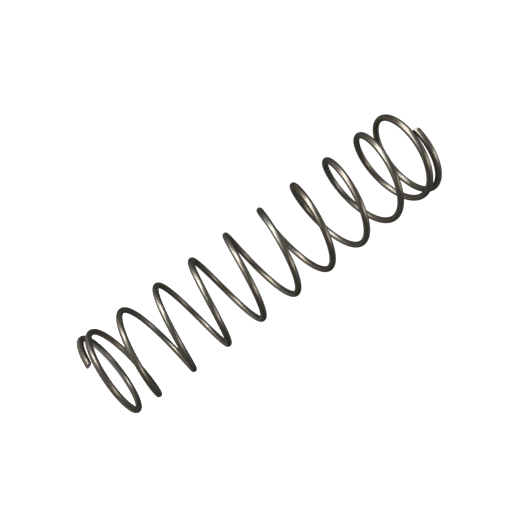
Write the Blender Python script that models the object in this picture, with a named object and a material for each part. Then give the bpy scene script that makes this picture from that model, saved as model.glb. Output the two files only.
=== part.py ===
"""Loose compression spring, the kind that returns the refill of a retractable ballpoint pen.

It is one drawn steel wire, coiled left-handed round +Z, with an unground dead coil at each end.
The spring stands on its lower end coil at Z = 0, round the Z axis, and bows very slightly to one side.
Upright planes through the axis split the wire into quarter-turn stretches, one object each,
so that every stretch can slide down the axis past its neighbours as the spring is compressed.
"""

import math

import bmesh
import bpy

# Driving dimensions, in metres. Lengths along the wire are in turns of the coil.
WIRE_DIAMETER = 0.32e-3
MEAN_COIL_DIAMETER = 4.40e-3
PITCH = 2.10e-3
TOTAL_TURNS = 10.98
FLAT_TURNS = 0.05
RAMP_TURNS = 2.00
SIDEWAYS_BOW = 0.12e-3
COILS = math.ceil(TOTAL_TURNS)
STRETCHES_PER_TURN = 4
SPLIT_GAP = 0.02e-3

# Facets of the round wire, and steps along one stretch of it.
SIDES = 12
STEPS_PER_STRETCH = 6

WIRE_COLOUR = (0.165, 0.150, 0.125, 1.0)
WIRE_METALLIC = 1.0
WIRE_ROUGHNESS = 0.34

COIL_RADIUS = MEAN_COIL_DIAMETER / 2
TURN = 2 * math.pi
# A regular polygon with the same area as the wire's round section.
SECTION_RADIUS = WIRE_DIAMETER / 2 * math.sqrt(TURN / (SIDES * math.sin(TURN / SIDES)))
SECTION_HALF_HEIGHT = SECTION_RADIUS * math.cos(math.pi / SIDES)


def clear_scene():
    for obj in list(bpy.data.objects):
        bpy.data.objects.remove(obj, do_unlink=True)


def ramp(turns):
    """How far the pitch has grown this many turns from a tip, from 0 on the flat seat to 1."""
    return min(max((turns - FLAT_TURNS) / RAMP_TURNS, 0.0), 1.0)


def pitch_at(turns):
    t = ramp(min(turns, TOTAL_TURNS - turns))
    return PITCH * t * t * (3 - 2 * t)


def rise_from_tip(turns):
    """Height gained from the nearer tip: the pitch added up along the wire."""
    t = ramp(turns)
    past_ramp = max(turns - FLAT_TURNS - RAMP_TURNS, 0.0)
    return PITCH * (RAMP_TURNS * (t**3 - t**4 / 2) + past_ramp)


def centreline_height(turns):
    half = TOTAL_TURNS / 2
    if turns <= half:
        return SECTION_HALF_HEIGHT + rise_from_tip(turns)
    return SECTION_HALF_HEIGHT + 2 * rise_from_tip(half) - rise_from_tip(TOTAL_TURNS - turns)


def sideways(turns):
    """How far toward +Y the bow has moved the coil here: half of it at mid-height, minus half at the ends."""
    full_rise = 2 * rise_from_tip(TOTAL_TURNS / 2)
    along = 2 * (centreline_height(turns) - SECTION_HALF_HEIGHT) / full_rise - 1
    return SIDEWAYS_BOW * (0.5 - along * along)


def section_ring(bm, turns, base_height):
    """The wire's outline where the upright half-plane at this point of the coil cuts it.

    The plane cuts a sloping wire in an ellipse, so the outline is a little taller than wide.
    """
    angle = -TURN * turns
    slope = pitch_at(turns) / (TURN * COIL_RADIUS)
    taller = math.sqrt(1 + slope * slope)
    middle = centreline_height(turns) - base_height
    bow = sideways(turns)
    ring = []
    for side in range(SIDES):
        around = TURN * (side + 0.5) / SIDES
        radius = COIL_RADIUS + SECTION_RADIUS * math.cos(around)
        height = middle + SECTION_RADIUS * taller * math.sin(around)
        ring.append(bm.verts.new((radius * math.cos(angle), radius * math.sin(angle) + bow, height)))
    return ring


def bridge(bm, lower, upper):
    """Side faces of the wire between two outlines."""
    for side in range(SIDES):
        following = (side + 1) % SIDES
        bm.faces.new((lower[side], lower[following], upper[following], upper[side]))


def wire_stretch(name, first_turn, last_turn, material, axis_empty):
    """A closed length of wire between two points of the coil, with its origin on the axis."""
    base_height = centreline_height(first_turn)
    half_gap = SPLIT_GAP / 2 / (TURN * COIL_RADIUS)
    start = first_turn + (half_gap if first_turn > 0 else 0.0)
    end = last_turn - (half_gap if last_turn < TOTAL_TURNS else 0.0)
    bm = bmesh.new()
    rings = []
    for step in range(STEPS_PER_STRETCH + 1):
        turns = start + (end - start) * step / STEPS_PER_STRETCH
        rings.append(section_ring(bm, turns, base_height))
    for lower, upper in zip(rings, rings[1:]):
        bridge(bm, lower, upper)
    bm.faces.new(rings[0])
    bm.faces.new(rings[-1])
    bmesh.ops.recalc_face_normals(bm, faces=bm.faces)
    mesh = bpy.data.meshes.new(name)
    bm.to_mesh(mesh)
    bm.free()
    mesh.shade_smooth()
    mesh.set_sharp_from_angle(angle=math.radians(50))
    mesh.materials.append(material)
    obj = bpy.data.objects.new(name, mesh)
    obj.parent = axis_empty
    obj.location = (0.0, 0.0, base_height)
    bpy.context.scene.collection.objects.link(obj)
    return obj


def drawn_steel():
    material = bpy.data.materials.new("drawn_spring_steel")
    material.use_nodes = True
    shader = material.node_tree.nodes["Principled BSDF"]
    shader.inputs["Base Color"].default_value = WIRE_COLOUR
    shader.inputs["Metallic"].default_value = WIRE_METALLIC
    shader.inputs["Roughness"].default_value = WIRE_ROUGHNESS
    material.diffuse_color = WIRE_COLOUR
    return material


def coil_name(coil):
    """Coils count up from the lower tip: a dead coil, the active coils, and a dead coil."""
    if coil == 0:
        return "lower_end_coil"
    if coil == COILS - 1:
        return "upper_end_coil"
    return f"active_coil_{coil}"


def build():
    clear_scene()
    axis_empty = bpy.data.objects.new("spring_axis", None)
    axis_empty.empty_display_size = COIL_RADIUS
    bpy.context.scene.collection.objects.link(axis_empty)
    steel = drawn_steel()
    for coil in range(COILS):
        for quarter in range(STRETCHES_PER_TURN):
            name = f"{coil_name(coil)}_{'abcd'[quarter]}"
            first = coil + quarter / STRETCHES_PER_TURN
            last = min(coil + (quarter + 1) / STRETCHES_PER_TURN, TOTAL_TURNS)
            wire_stretch(name, first, last, steel, axis_empty)


build()
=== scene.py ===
"""Loose compression spring of a retractable ballpoint pen, in drawn spring steel.

The spring is one round wire coiled left-handed round +Z. Each quarter turn of its active coils rides on
the body that carries it, and each end coil on its own body. The rides alone would leave small steps
between neighbours when the spring is pressed. Each piece keeps its vertices on the centreline, and a node
tree moves them out to the surface, so that a piece can close up along Z while its wire stays as thick.
"""

import functools
import math

import bpy
import numpy as np
from mathutils import Matrix, Vector


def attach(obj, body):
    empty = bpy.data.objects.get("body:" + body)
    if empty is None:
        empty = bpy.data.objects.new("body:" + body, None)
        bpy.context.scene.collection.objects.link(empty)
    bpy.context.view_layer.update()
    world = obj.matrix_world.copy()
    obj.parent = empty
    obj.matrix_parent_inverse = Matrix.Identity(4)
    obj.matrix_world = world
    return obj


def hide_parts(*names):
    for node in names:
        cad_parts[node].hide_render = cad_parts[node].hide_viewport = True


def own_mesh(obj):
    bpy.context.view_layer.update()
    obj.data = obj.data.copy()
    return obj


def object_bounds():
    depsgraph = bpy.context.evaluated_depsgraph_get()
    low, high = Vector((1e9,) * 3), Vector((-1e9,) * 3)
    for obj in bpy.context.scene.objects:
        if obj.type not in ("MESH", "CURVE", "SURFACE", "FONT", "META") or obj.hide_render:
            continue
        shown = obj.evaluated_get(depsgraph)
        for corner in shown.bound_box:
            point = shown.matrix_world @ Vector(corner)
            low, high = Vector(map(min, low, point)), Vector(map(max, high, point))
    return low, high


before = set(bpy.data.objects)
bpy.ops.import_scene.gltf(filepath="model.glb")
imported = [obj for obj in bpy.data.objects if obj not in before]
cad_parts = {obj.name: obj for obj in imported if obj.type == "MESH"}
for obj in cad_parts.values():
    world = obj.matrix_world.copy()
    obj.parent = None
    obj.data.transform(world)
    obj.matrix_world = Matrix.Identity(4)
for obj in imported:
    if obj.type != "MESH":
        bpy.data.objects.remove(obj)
cad_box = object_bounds()

# The wire, in metres, as the model is built. Lengths along the wire are in turns of the coil.
WIRE_RADIUS = 0.16e-3
COIL_RADIUS = 2.20e-3
PITCH = 2.10e-3
TOTAL_TURNS = 10.98
FLAT_TURNS = 0.05
RAMP_TURNS = 2.00
SIDEWAYS_BOW = 0.12e-3
# The active coils lie between these two points of the wire, and a dead end coil lies beyond each.
FIRST_ACTIVE = 1
LAST_ACTIVE = 10
QUARTERS = 4
TURN = 2 * math.pi

# Facets round the wire, and steps along a quarter turn of it.
SIDES = 24
STEPS = 24
# Neighbouring pieces stop this far apart, in metres: too little to see, and enough that they never touch.
SEAM = 1.0e-6

# The cut at a tip. Heights are in wire radii, and angles go round the wire from its outer side towards +Z.
TIP_SLANT = 0.50
SLANT_AT = math.radians(270)
CUTTER_ENTERS_AT = math.radians(205)
BURR_AT = math.radians(30)
BURR_HEIGHT = 0.10

SEAT_Z = cad_box[0][2]
TOP_Z = cad_box[1][2]


# ------------------------------------------------------------------ the wire's centreline


def ramp(turns):
    """How far the pitch has grown this many turns from a tip, from 0 on the flat seat to 1."""
    return min(max((turns - FLAT_TURNS) / RAMP_TURNS, 0.0), 1.0)


def pitch_at(turns):
    t = ramp(min(turns, TOTAL_TURNS - turns))
    return PITCH * t * t * (3 - 2 * t)


def rise_from_tip(turns):
    t = ramp(turns)
    past_ramp = max(turns - FLAT_TURNS - RAMP_TURNS, 0.0)
    return PITCH * (RAMP_TURNS * (t**3 - t**4 / 2) + past_ramp)


RISE = 2 * rise_from_tip(TOTAL_TURNS / 2)
LOWEST_CENTRE = SEAT_Z + (TOP_Z - SEAT_Z - RISE) / 2


def height(turns):
    if turns <= TOTAL_TURNS / 2:
        return LOWEST_CENTRE + rise_from_tip(turns)
    return LOWEST_CENTRE + RISE - rise_from_tip(TOTAL_TURNS - turns)


def slope(turns):
    return pitch_at(turns) / (TURN * COIL_RADIUS)


def sideways(turns):
    """How far toward +Y the coil is bowed here: by half the bow at mid-height, and minus half at the ends."""
    along = 2 * (height(turns) - LOWEST_CENTRE) / RISE - 1
    return SIDEWAYS_BOW * (0.5 - along * along)


def radial(turns):
    angle = -TURN * turns
    return np.array([math.cos(angle), math.sin(angle), 0.0])


def level_tangent(turns):
    """The way the wire runs towards its upper tip, seen from above."""
    angle = -TURN * turns
    return np.array([math.sin(angle), -math.cos(angle), 0.0])


UP = np.array([0.0, 0.0, 1.0])
SIDEWAYS = np.array([0.0, 1.0, 0.0])


# ------------------------------------------------------------------ wire meshes

AROUND = TURN * (np.arange(SIDES) + 0.5) / SIDES


class Rings:
    """Outlines of the wire, one after another along it.

    Every vertex is kept as a place on the centreline and a way out from there to the surface. A node tree
    adds the two, so a piece can close up along Z while its wire stays as thick as it was.
    """

    def __init__(self):
        self.places = []
        self.outward = []
        # Where each vertex would lie if the wire were pulled straight along Z, for the material.
        self.straight = []
        # The round wire's own normals, for smooth shading from one piece to the next.
        self.normals = []
        # How far each vertex belongs to a cut face, from 0 to 1.
        self.cut = []

    def add(self, turns, radius=WIRE_RADIUS, ahead=0.0, cut=0.0):
        """Add one outline. radius, and ahead along the wire, are one number each or one for each side."""
        radius = np.broadcast_to(radius, SIDES)[:, None]
        ahead = np.broadcast_to(ahead, SIDES)[:, None]
        taller = math.sqrt(1 + slope(turns) ** 2)
        across = np.cos(AROUND)[:, None] * radial(turns)
        across = across + np.sin(AROUND)[:, None] * UP * taller
        along = level_tangent(turns) + UP * slope(turns)
        along = along / np.linalg.norm(along)
        place = radial(turns) * COIL_RADIUS + SIDEWAYS * sideways(turns) + UP * height(turns)
        self.places.append(np.tile(place, (SIDES, 1)))
        self.outward.append(across * radius + along * ahead)
        over = np.cross(along, radial(turns))
        over = over * np.sign(over[2])
        self.normals.append(np.cos(AROUND)[:, None] * radial(turns) + np.sin(AROUND)[:, None] * over)
        across_wire = [radius * np.cos(AROUND)[:, None], radius * np.sin(AROUND)[:, None]]
        self.straight.append(np.hstack([*across_wire, turns * TURN * COIL_RADIUS + ahead]))
        self.cut.append(np.full(SIDES, cut))


# One ring of a tip in each row: how far back from the face it lies, in wire radii, how much of the radius
# is gone, how much of the slant it has, and how far it belongs to the cut face.
TIP_PROFILE = (
    (0.90, 0.000, 0.10, 0.0),
    (0.45, 0.004, 0.45, 0.0),
    (0.20, 0.020, 0.80, 0.0),
    (0.08, 0.060, 0.95, 0.2),
    (0.02, 0.130, 1.00, 0.6),
    (0.00, 0.200, 1.00, 1.0),
    (-0.02, 0.450, 1.00, 1.0),
    (-0.05, 0.750, 1.00, 1.0),
    (-0.03, 0.930, 1.00, 1.0),
)
# The rolled edge ends where this share of the radius is gone, and the burr on it starts where this one is.
EDGE_ENDS = 0.3
BURR_STARTS = 0.05
# How far the edge is rolled in, as a share of the profile above, opposite the cutter and where it enters.
ROLLED_LEAST = 0.35
ROLLED_MOST = 1.25


def sheared_tip(rings, turns, sign):
    """Rings that round the wire over into the face its cutter left. sign is the way out of the wire.

    The cutter rolls the edge in on the side it enters by and leaves a small burr on the other side.
    """
    entered = 0.5 + 0.5 * np.cos(AROUND - CUTTER_ENTERS_AT)
    burr = np.clip(np.cos(AROUND - BURR_AT), 0, 1) ** 3
    slant = TIP_SLANT * np.cos(AROUND - SLANT_AT)
    for back, lost, slanted, cut in TIP_PROFILE:
        on_edge = lost < EDGE_ENDS
        rolled = ROLLED_LEAST + (ROLLED_MOST - ROLLED_LEAST) * entered if on_edge else 1.0
        radius = WIRE_RADIUS * (1 - lost * rolled)
        lip = BURR_HEIGHT * burr if on_edge and lost > BURR_STARTS else 0.0
        ahead = sign * ((lip - back) * WIRE_RADIUS + slant * radius * slanted)
        rings.add(turns, radius, ahead, cut)


def add_tip_first(rings, turns):
    """The lower tip's rings run from the wire towards its face, so they go in the other way round."""
    tip = Rings()
    sheared_tip(tip, turns, -1)
    for part in ("places", "outward", "straight", "normals", "cut"):
        getattr(rings, part).extend(reversed(getattr(tip, part)))


def wire_rings(first_turn, last_turn, lower_tip, upper_tip):
    steps = round((last_turn - first_turn) * QUARTERS * STEPS)
    half_seam = SEAM / 2 / (TURN * COIL_RADIUS)
    first_turn += 0 if lower_tip else half_seam
    last_turn -= 0 if upper_tip else half_seam
    turns = [first_turn + (last_turn - first_turn) * i / steps for i in range(steps + 1)]
    rings = Rings()
    if lower_tip:
        add_tip_first(rings, turns.pop(0))
    for at in turns[: -1 if upper_tip else None]:
        rings.add(at)
    if upper_tip:
        sheared_tip(rings, last_turn, 1)
    return rings


def wire_faces(ring_count):
    """Four-sided faces between the outlines, and then the two ends."""
    faces = []
    for ring in range(ring_count - 1):
        low, high = ring * SIDES, (ring + 1) * SIDES
        for side in range(SIDES):
            after = (side + 1) % SIDES
            faces.append((low + side, low + after, high + after, high + side))
    last = (ring_count - 1) * SIDES
    faces.append(tuple(range(SIDES))[::-1])
    faces.append(tuple(last + side for side in range(SIDES)))
    return faces


def signed_volume(points, faces):
    """The volume inside the faces, which is below zero when they face inwards."""
    total = 0.0
    for face in faces:
        a = points[face[0]]
        for b, c in zip(face[1:], face[2:]):
            total += np.dot(a, np.cross(points[b], points[c]))
    return total / 6


def shading_normals(mesh, rings, lower_tip, upper_tip):
    """A normal for each corner of each face.

    They come from the mesh itself at a cut tip, and from the coil's own shape elsewhere, so that the
    shading runs on unbroken from one piece to the next.
    """
    normals = np.zeros(len(mesh.vertices) * 3)
    mesh.vertex_normals.foreach_get("vector", normals)
    normals = normals.reshape(-1, 3)
    on_wire = np.ones(len(rings.places), bool)
    if lower_tip:
        on_wire[: len(TIP_PROFILE)] = False
    if upper_tip:
        on_wire[-len(TIP_PROFILE) :] = False
    on_wire = np.repeat(on_wire, SIDES)
    normals[on_wire] = np.vstack(rings.normals)[on_wire]
    corner_vertices = np.zeros(len(mesh.loops), int)
    mesh.loops.foreach_get("vertex_index", corner_vertices)
    corner_normals = normals[corner_vertices]
    lower_end, upper_end = mesh.polygons[-2], mesh.polygons[-1]
    for end, tipped in ((lower_end, lower_tip), (upper_end, upper_tip)):
        if not tipped:
            corner_normals[end.loop_start : end.loop_start + SIDES] = end.normal
    return corner_normals


def sharpen_flat_ends(mesh, ring_count, lower_tip, upper_tip):
    """Without sharp edges round a flat end, its normals would bend the shading of the wire beside it."""
    flat_ends = [ring for ring, tipped in ((0, lower_tip), (ring_count - 1, upper_tip)) if not tipped]
    sharp = mesh.attributes.new("sharp_edge", "BOOLEAN", "EDGE")
    for edge in mesh.edges:
        a, b = (vertex // SIDES for vertex in edge.vertices)
        sharp.data[edge.index].value = a == b and a in flat_ends


def store_vectors(mesh, name, domain, vectors):
    layer = mesh.attributes.new(name, "FLOAT_VECTOR", domain)
    layer.data.foreach_set("vector", vectors.astype(np.float32).ravel())


def wire_piece(name, first_turn, last_turn, lower_tip=False, upper_tip=False):
    """A closed length of wire. Its vertices are stored on the centreline, and a node tree moves them out."""
    rings = wire_rings(first_turn, last_turn, lower_tip, upper_tip)
    ring_count = len(rings.places)
    faces = wire_faces(ring_count)
    places = np.vstack(rings.places)
    outward = np.vstack(rings.outward)
    surface = places + outward
    mesh = bpy.data.meshes.new(name)
    mesh.from_pydata(surface.tolist(), [], faces)
    if signed_volume(surface, faces) < 0:
        mesh.flip_normals()
    mesh.shade_smooth()
    normals = shading_normals(mesh, rings, lower_tip, upper_tip)
    sharpen_flat_ends(mesh, ring_count, lower_tip, upper_tip)
    store_vectors(mesh, "outward", "POINT", outward)
    store_vectors(mesh, "straight", "POINT", np.vstack(rings.straight))
    store_vectors(mesh, "surface_normal", "CORNER", normals)
    cut = mesh.attributes.new("cut", "FLOAT", "POINT")
    cut.data.foreach_set("value", np.concatenate(rings.cut).astype(np.float32))
    mesh.vertices.foreach_set("co", places.astype(np.float32).ravel())
    mesh.update()

    piece = bpy.data.objects.new(name, mesh)
    bpy.context.scene.collection.objects.link(piece)
    piece.modifiers.new("wire_thickness", "NODES").node_group = thickness_nodes()
    mesh.materials.append(spring_steel())
    return piece


@functools.cache
def thickness_nodes():
    """Moves each vertex out from the centreline to the surface, and gives it the wire's own normals."""
    tree = bpy.data.node_groups.new("wire_thickness", "GeometryNodeTree")
    tree.interface.new_socket("Geometry", in_out="INPUT", socket_type="NodeSocketGeometry")
    tree.interface.new_socket("Geometry", in_out="OUTPUT", socket_type="NodeSocketGeometry")
    start = tree.nodes.new("NodeGroupInput")
    end = tree.nodes.new("NodeGroupOutput")
    move = tree.nodes.new("GeometryNodeSetPosition")
    shade = tree.nodes.new("GeometryNodeSetMeshNormal")
    shade.mode = "FREE"
    shade.domain = "CORNER"
    for label, socket in (
        ("outward", move.inputs["Offset"]),
        ("surface_normal", shade.inputs["Custom Normal"]),
    ):
        stored = tree.nodes.new("GeometryNodeInputNamedAttribute")
        stored.data_type = "FLOAT_VECTOR"
        stored.inputs["Name"].default_value = label
        tree.links.new(stored.outputs["Attribute"], socket)
    tree.links.new(start.outputs["Geometry"], move.inputs["Geometry"])
    tree.links.new(move.outputs["Geometry"], shade.inputs["Mesh"])
    tree.links.new(shade.outputs["Mesh"], end.inputs["Geometry"])
    return tree


# ------------------------------------------------------------------ material


class Nodes:
    """Short calls for building the nodes of one material, or of the world."""

    def __init__(self, owner):
        self.tree = owner.node_tree

    def new(self, kind, **settings):
        node = self.tree.nodes.new(kind)
        for key, value in settings.items():
            setattr(node, key, value)
        return node

    def link(self, output, socket):
        self.tree.links.new(output, socket)

    def give(self, value, socket):
        """Set a socket to a number or a colour, or link an output to it."""
        if isinstance(value, (float, tuple)):
            socket.default_value = value
        else:
            self.link(value, socket)

    def maths(self, operation, a, b, clamp=False):
        node = self.new("ShaderNodeMath", operation=operation, use_clamp=clamp)
        self.give(a, node.inputs[0])
        self.give(b, node.inputs[1])
        return node.outputs["Value"]

    def noise(self, place, scale, detail, roughness, seed=0.0):
        """Noise at place, with scale features to the millimetre along each of the three ways."""
        scaled = self.new("ShaderNodeMapping")
        scaled.inputs["Scale"].default_value = scale
        scaled.inputs["Location"].default_value = (seed, 2.3 * seed, -1.7 * seed)
        self.link(place, scaled.inputs["Vector"])
        node = self.new("ShaderNodeTexNoise")
        node.inputs["Scale"].default_value = 1.0
        node.inputs["Detail"].default_value = detail
        node.inputs["Roughness"].default_value = roughness
        self.link(scaled.outputs["Vector"], node.inputs["Vector"])
        return node.outputs["Fac"]

    def spread(self, value, low, high, to_low=0.0, to_high=1.0):
        """Stretch the values from low to high over to_low to to_high, and hold them there outside it."""
        node = self.new("ShaderNodeMapRange", clamp=True)
        self.link(value, node.inputs["Value"])
        node.inputs["From Min"].default_value = low
        node.inputs["From Max"].default_value = high
        node.inputs["To Min"].default_value = to_low
        node.inputs["To Max"].default_value = to_high
        return node.outputs["Result"]

    def mix(self, share, a, b):
        """Colour a where share is 0, and colour b where it is 1."""
        node = self.new("ShaderNodeMix", data_type="RGBA")
        self.link(share, node.inputs[0])
        self.give(a, node.inputs[6])
        self.give(b, node.inputs[7])
        return node.outputs[2]


WHITE = (1.0, 1.0, 1.0, 1.0)
OLIVE_GREY = (0.180, 0.173, 0.150, 1.0)
WARM_BROWN = (0.160, 0.130, 0.100, 1.0)
PALE_STEEL = (0.280, 0.268, 0.240, 1.0)
SOOT = (0.060, 0.052, 0.042, 1.0)
FRESH_CUT = (0.360, 0.350, 0.330, 1.0)
# What the metal reflects at grazing angles, in place of a plain metal's white.
EDGE_TINT = (0.45, 0.44, 0.42, 1.0)
MILLIMETRES_PER_METRE = 1000.0
# How deep the lines and pits look at full strength, in metres, and how much of that is used.
RELIEF_DEPTH = 2.0e-6
RELIEF_STRENGTH = 0.35


@functools.cache
def spring_steel():
    """Drawn wire: lines left by the die, a brown and olive tint, smudges, small pits and bright cut ends."""
    material = bpy.data.materials.new("drawn_spring_steel")
    material.use_nodes = True
    n = Nodes(material)
    shader = n.tree.nodes["Principled BSDF"]
    shader.inputs["Metallic"].default_value = 1.0
    shader.inputs["Specular Tint"].default_value = EDGE_TINT

    stored = n.new("ShaderNodeAttribute", attribute_name="straight")
    in_mm = n.new("ShaderNodeVectorMath", operation="SCALE")
    in_mm.inputs["Scale"].default_value = MILLIMETRES_PER_METRE
    n.link(stored.outputs["Vector"], in_mm.inputs[0])
    place = in_mm.outputs["Vector"]
    cut = n.new("ShaderNodeAttribute", attribute_name="cut").outputs["Fac"]

    # Features to the millimetre across the wire, twice, and along it. Drawing lines are long and narrow.
    lines = n.noise(place, (14, 14, 0.6), detail=2, roughness=0.5)
    hairlines = n.noise(place, (60, 60, 2.0), detail=2, roughness=0.5, seed=4.0)
    tint = n.noise(place, (1.6, 1.6, 0.35), detail=3, roughness=0.6, seed=7.0)
    smudges = n.noise(place, (5, 5, 1.2), detail=3, roughness=0.6, seed=11.0)
    specks = n.noise(place, (22, 22, 11), detail=3, roughness=0.7, seed=17.0)

    colour = n.mix(n.spread(tint, 0.40, 0.66), OLIVE_GREY, WARM_BROWN)
    bright_lines = n.maths("MULTIPLY", n.spread(lines, 0.50, 0.72), 0.45)
    colour = n.mix(bright_lines, colour, PALE_STEEL)
    dark_lines = n.maths("MULTIPLY", n.spread(lines, 0.46, 0.30), 0.45)
    colour = n.mix(dark_lines, colour, SOOT)
    pits = n.maths("MULTIPLY", n.spread(specks, 0.68, 0.80), 0.6)
    colour = n.mix(pits, colour, SOOT)
    colour = n.mix(n.maths("MULTIPLY", cut, 0.7), colour, FRESH_CUT)
    n.link(colour, shader.inputs["Base Color"])

    rough = n.spread(smudges, 0.35, 0.70, 0.28, 0.38)
    rough = n.maths("ADD", rough, n.spread(hairlines, 0.40, 0.70, 0.0, 0.05))
    rough = n.maths("ADD", rough, n.maths("MULTIPLY", pits, 0.25))
    rough = n.maths("ADD", rough, n.maths("MULTIPLY", cut, 0.18), clamp=True)
    n.link(rough, shader.inputs["Roughness"])

    relief = n.maths("ADD", lines, n.maths("MULTIPLY", hairlines, 0.15))
    relief = n.maths("SUBTRACT", relief, n.maths("MULTIPLY", pits, 0.5))
    bump = n.new("ShaderNodeBump")
    bump.inputs["Strength"].default_value = RELIEF_STRENGTH
    bump.inputs["Distance"].default_value = RELIEF_DEPTH
    n.link(relief, bump.inputs["Height"])
    n.link(bump.outputs["Normal"], shader.inputs["Normal"])
    return material


# ------------------------------------------------------------------ pieces on their bodies


def add_piece(piece, body, *nodes):
    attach(piece, body)
    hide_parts(*nodes)


lower = wire_piece("lower_end_coil", 0, FIRST_ACTIVE, lower_tip=True)
add_piece(lower, "lower_end", *(f"lower_end_coil_{q}" for q in "abcd"))
upper = wire_piece("upper_end_coil", LAST_ACTIVE, TOTAL_TURNS, upper_tip=True)
add_piece(upper, "upper_end", *(f"upper_end_coil_{q}" for q in "abcd"))

for coil in range(FIRST_ACTIVE, LAST_ACTIVE):
    for quarter, letter in enumerate("abcd"):
        start = coil + quarter / QUARTERS
        body = f"coil_{coil}_{letter}"
        piece = wire_piece(f"wire_{coil}_{letter}", start, start + 1 / QUARTERS)
        add_piece(piece, body, f"active_coil_{coil}_{letter}")
        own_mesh(piece)


# ------------------------------------------------------------------ floor, light and camera

MIDDLE = Vector((0.0, 0.0, (SEAT_Z + TOP_Z) / 2))

# Brightness as the eye sees it, where 1 is white, and as the wire reflects it.
SKY_TO_EYE = 1.12
SKY_IN_WIRE = 0.26
SKY_COLOUR_IN_WIRE = (0.88, 0.98, 1.0, 1.0)

PAPER_COLOUR = (0.90, 0.90, 0.89, 1.0)
PAPER_GLOW = 0.55
FLOOR_HALF_SIDE = 1.5

# The floor as the wire reflects it, a painted reflection with painted shade: grey behind the spring, brown
# before it, on the +X side, and pale on the open -Y side. Each tone passes into the next between two places,
# in metres from the spring's axis.
FLOOR_BEHIND = (0.15, 0.165, 0.16, 1.0)
FLOOR_BEFORE = (0.22, 0.17, 0.135, 1.0)
FLOOR_OPEN = (0.95, 0.95, 0.95, 1.0)
BEHIND_ENDS_X = -0.004
BEFORE_STARTS_X = 0.006
OPEN_STARTS_Y = 0.006
OPEN_IS_FULL_Y = -0.004
OPEN_IS_FULL_WITHIN = 0.004
OPEN_FADES_BY = 0.022
OPEN_FAR_OFF = 0.16


def floor_in_wire(n):
    """The painted reflection of the floor: painted shade in the colours that the wire sees in it."""
    position = n.new("ShaderNodeNewGeometry").outputs["Position"]
    apart = n.new("ShaderNodeSeparateXYZ")
    n.link(position, apart.inputs[0])
    distance = n.new("ShaderNodeVectorMath", operation="LENGTH")
    n.link(position, distance.inputs[0])
    before = n.spread(apart.outputs["X"], BEHIND_ENDS_X, BEFORE_STARTS_X)
    open_side = n.spread(apart.outputs["Y"], OPEN_STARTS_Y, OPEN_IS_FULL_Y)
    near = n.spread(distance.outputs["Value"], OPEN_FADES_BY, OPEN_IS_FULL_WITHIN, OPEN_FAR_OFF, 1.0)
    # Painted shade on the floor, seen only in the wire: grey behind the spring, brown before it.
    shaded = n.mix(before, FLOOR_BEHIND, FLOOR_BEFORE)
    return n.mix(n.maths("MULTIPLY", open_side, near), shaded, FLOOR_OPEN)


def paper():
    """White paper under the spring, which glows a little so that the spring's shadow on it stays faint.

    The wire reflects it in the tones above instead, a painted reflection with painted shade.
    """
    material = bpy.data.materials.new("white_paper")
    material.use_nodes = True
    n = Nodes(material)
    shader = n.tree.nodes["Principled BSDF"]
    shader.inputs["Base Color"].default_value = PAPER_COLOUR
    shader.inputs["Roughness"].default_value = 1.0
    shader.inputs["Specular IOR Level"].default_value = 0.0
    shader.inputs["Emission Color"].default_value = WHITE
    shader.inputs["Emission Strength"].default_value = PAPER_GLOW
    # Glossy rays see this painted reflection of the floor in place of the white paper.
    reflected = n.new("ShaderNodeEmission")
    n.link(floor_in_wire(n), reflected.inputs["Color"])
    choice = n.new("ShaderNodeMixShader")
    n.link(n.new("ShaderNodeLightPath").outputs["Is Glossy Ray"], choice.inputs[0])
    n.link(shader.outputs[0], choice.inputs[1])
    n.link(reflected.outputs[0], choice.inputs[2])
    n.link(choice.outputs[0], n.tree.nodes["Material Output"].inputs["Surface"])
    return material


def make_floor():
    mesh = bpy.data.meshes.new("floor")
    half = FLOOR_HALF_SIDE
    corners = [(-half, -half, SEAT_Z), (half, -half, SEAT_Z), (half, half, SEAT_Z), (-half, half, SEAT_Z)]
    mesh.from_pydata(corners, [], [(0, 1, 2, 3)])
    floor = bpy.data.objects.new("floor", mesh)
    bpy.context.scene.collection.objects.link(floor)
    mesh.materials.append(paper())


def make_world():
    """A white studio, bright to the eye and on the floor. The wire reflects it dim and a little cool."""
    world = bpy.data.worlds.new("studio")
    bpy.context.scene.world = world
    world.use_nodes = True
    n = Nodes(world)
    background = n.tree.nodes["Background"]
    reflected = n.new("ShaderNodeLightPath").outputs["Is Glossy Ray"]
    n.link(n.spread(reflected, 0.0, 1.0, SKY_TO_EYE, SKY_IN_WIRE), background.inputs["Strength"])
    n.link(n.mix(reflected, WHITE, SKY_COLOUR_IN_WIRE), background.inputs["Color"])


def area_light(name, width, tall, radiance, colour):
    """A rectangular light that the camera doesn't see, equally bright whatever its size."""
    data = bpy.data.lights.new(name, "AREA")
    data.shape = "RECTANGLE"
    data.size = width
    data.size_y = tall
    data.color = colour
    data.energy = radiance * math.pi * width * tall
    light = bpy.data.objects.new(name, data)
    light.visible_camera = False
    bpy.context.scene.collection.objects.link(light)
    return light


def softbox(name, azimuth, elevation, distance, width, tall, radiance, colour):
    """A soft light aimed at the spring's middle. Angles in degrees, azimuth from +X."""
    a, e = math.radians(azimuth), math.radians(elevation)
    way = Vector((math.cos(a) * math.cos(e), math.sin(a) * math.cos(e), math.sin(e)))
    light = area_light(name, width, tall, radiance, colour)
    light.location = MIDDLE + way * distance
    light.rotation_euler = way.to_track_quat("Z", "Y").to_euler()


# How far above the floor's surface a strip light lies, in metres.
ABOVE_FLOOR = 0.2e-3


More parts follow.
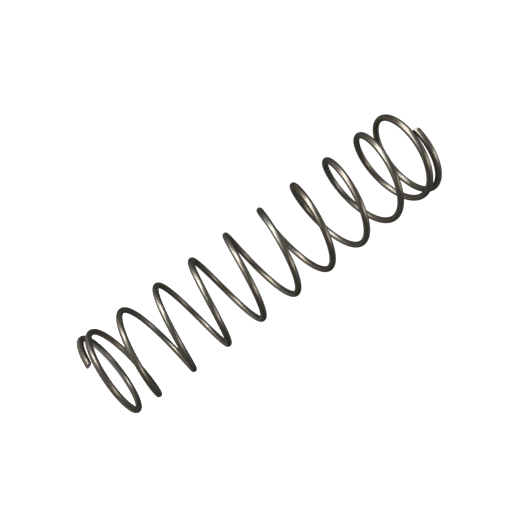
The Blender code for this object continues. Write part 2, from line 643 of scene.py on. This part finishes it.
def low_card(name, azimuth, near, far, width, radiance, colour):
    """A strip light that lies on the floor and shines up, running away from the spring."""
    a = math.radians(azimuth)
    reach = (near + far) / 2
    light = area_light(name, far - near, width, radiance, colour)
    light.location = (reach * math.cos(a), reach * math.sin(a), SEAT_Z + ABOVE_FLOOR)
    light.rotation_euler = (math.pi, 0.0, a)


# Where the camera stands, in metres, and which ways are its right and its back.
CAMERA_AT = (0.02327, 0.01004, 0.00639)
CAMERA_RIGHT = (-0.18733, 0.57015, 0.79990)
CAMERA_BACK = (0.92365, 0.37939, -0.05412)
# The lens, in millimetres on the sensor, and how far it shifts the picture, in picture widths.
SENSOR_WIDTH = 36.0
FOCAL_LENGTH = 34.766
CAMERA_SHIFT = (0.0452, 0.0505)
NEAREST_SEEN = 0.001
FURTHEST_SEEN = 10.0


def make_camera():
    """The camera stands close to the spring, a little under its middle, and is rolled on its side."""
    data = bpy.data.cameras.new("camera")
    data.sensor_width = SENSOR_WIDTH
    data.lens = FOCAL_LENGTH
    data.shift_x, data.shift_y = CAMERA_SHIFT
    data.clip_start = NEAREST_SEEN
    data.clip_end = FURTHEST_SEEN
    camera = bpy.data.objects.new("camera", data)
    right = Vector(CAMERA_RIGHT).normalized()
    back = Vector(CAMERA_BACK).normalized()
    up = back.cross(right).normalized()
    right = up.cross(back)
    turned = Matrix((right, up, back)).transposed().to_4x4()
    camera.matrix_world = Matrix.Translation(CAMERA_AT) @ turned
    bpy.context.scene.collection.objects.link(camera)
    bpy.context.scene.camera = camera


make_floor()
make_world()
# Azimuth, elevation, distance, width, height, brightness and colour.
softbox("key", -28, 13, 0.070, 0.029, 0.048, 10.0, (0.98, 0.975, 0.98))
softbox("fill", 66, 16, 0.090, 0.025, 0.055, 5.0, (1.0, 0.975, 0.93))
softbox("high_fill", 78, 50, 0.090, 0.028, 0.045, 2.2, (1.0, 0.97, 0.93))
softbox("top", 160, 78, 0.110, 0.090, 0.090, 0.6, (1.0, 0.98, 0.95))
# Azimuth, nearest and furthest point, width, brightness and colour.
low_card("key_foot", -28, 0.012, 0.062, 0.021, 8.5, (0.98, 0.975, 0.98))
make_camera()
bpy.context.scene.view_settings.view_transform = "Standard"
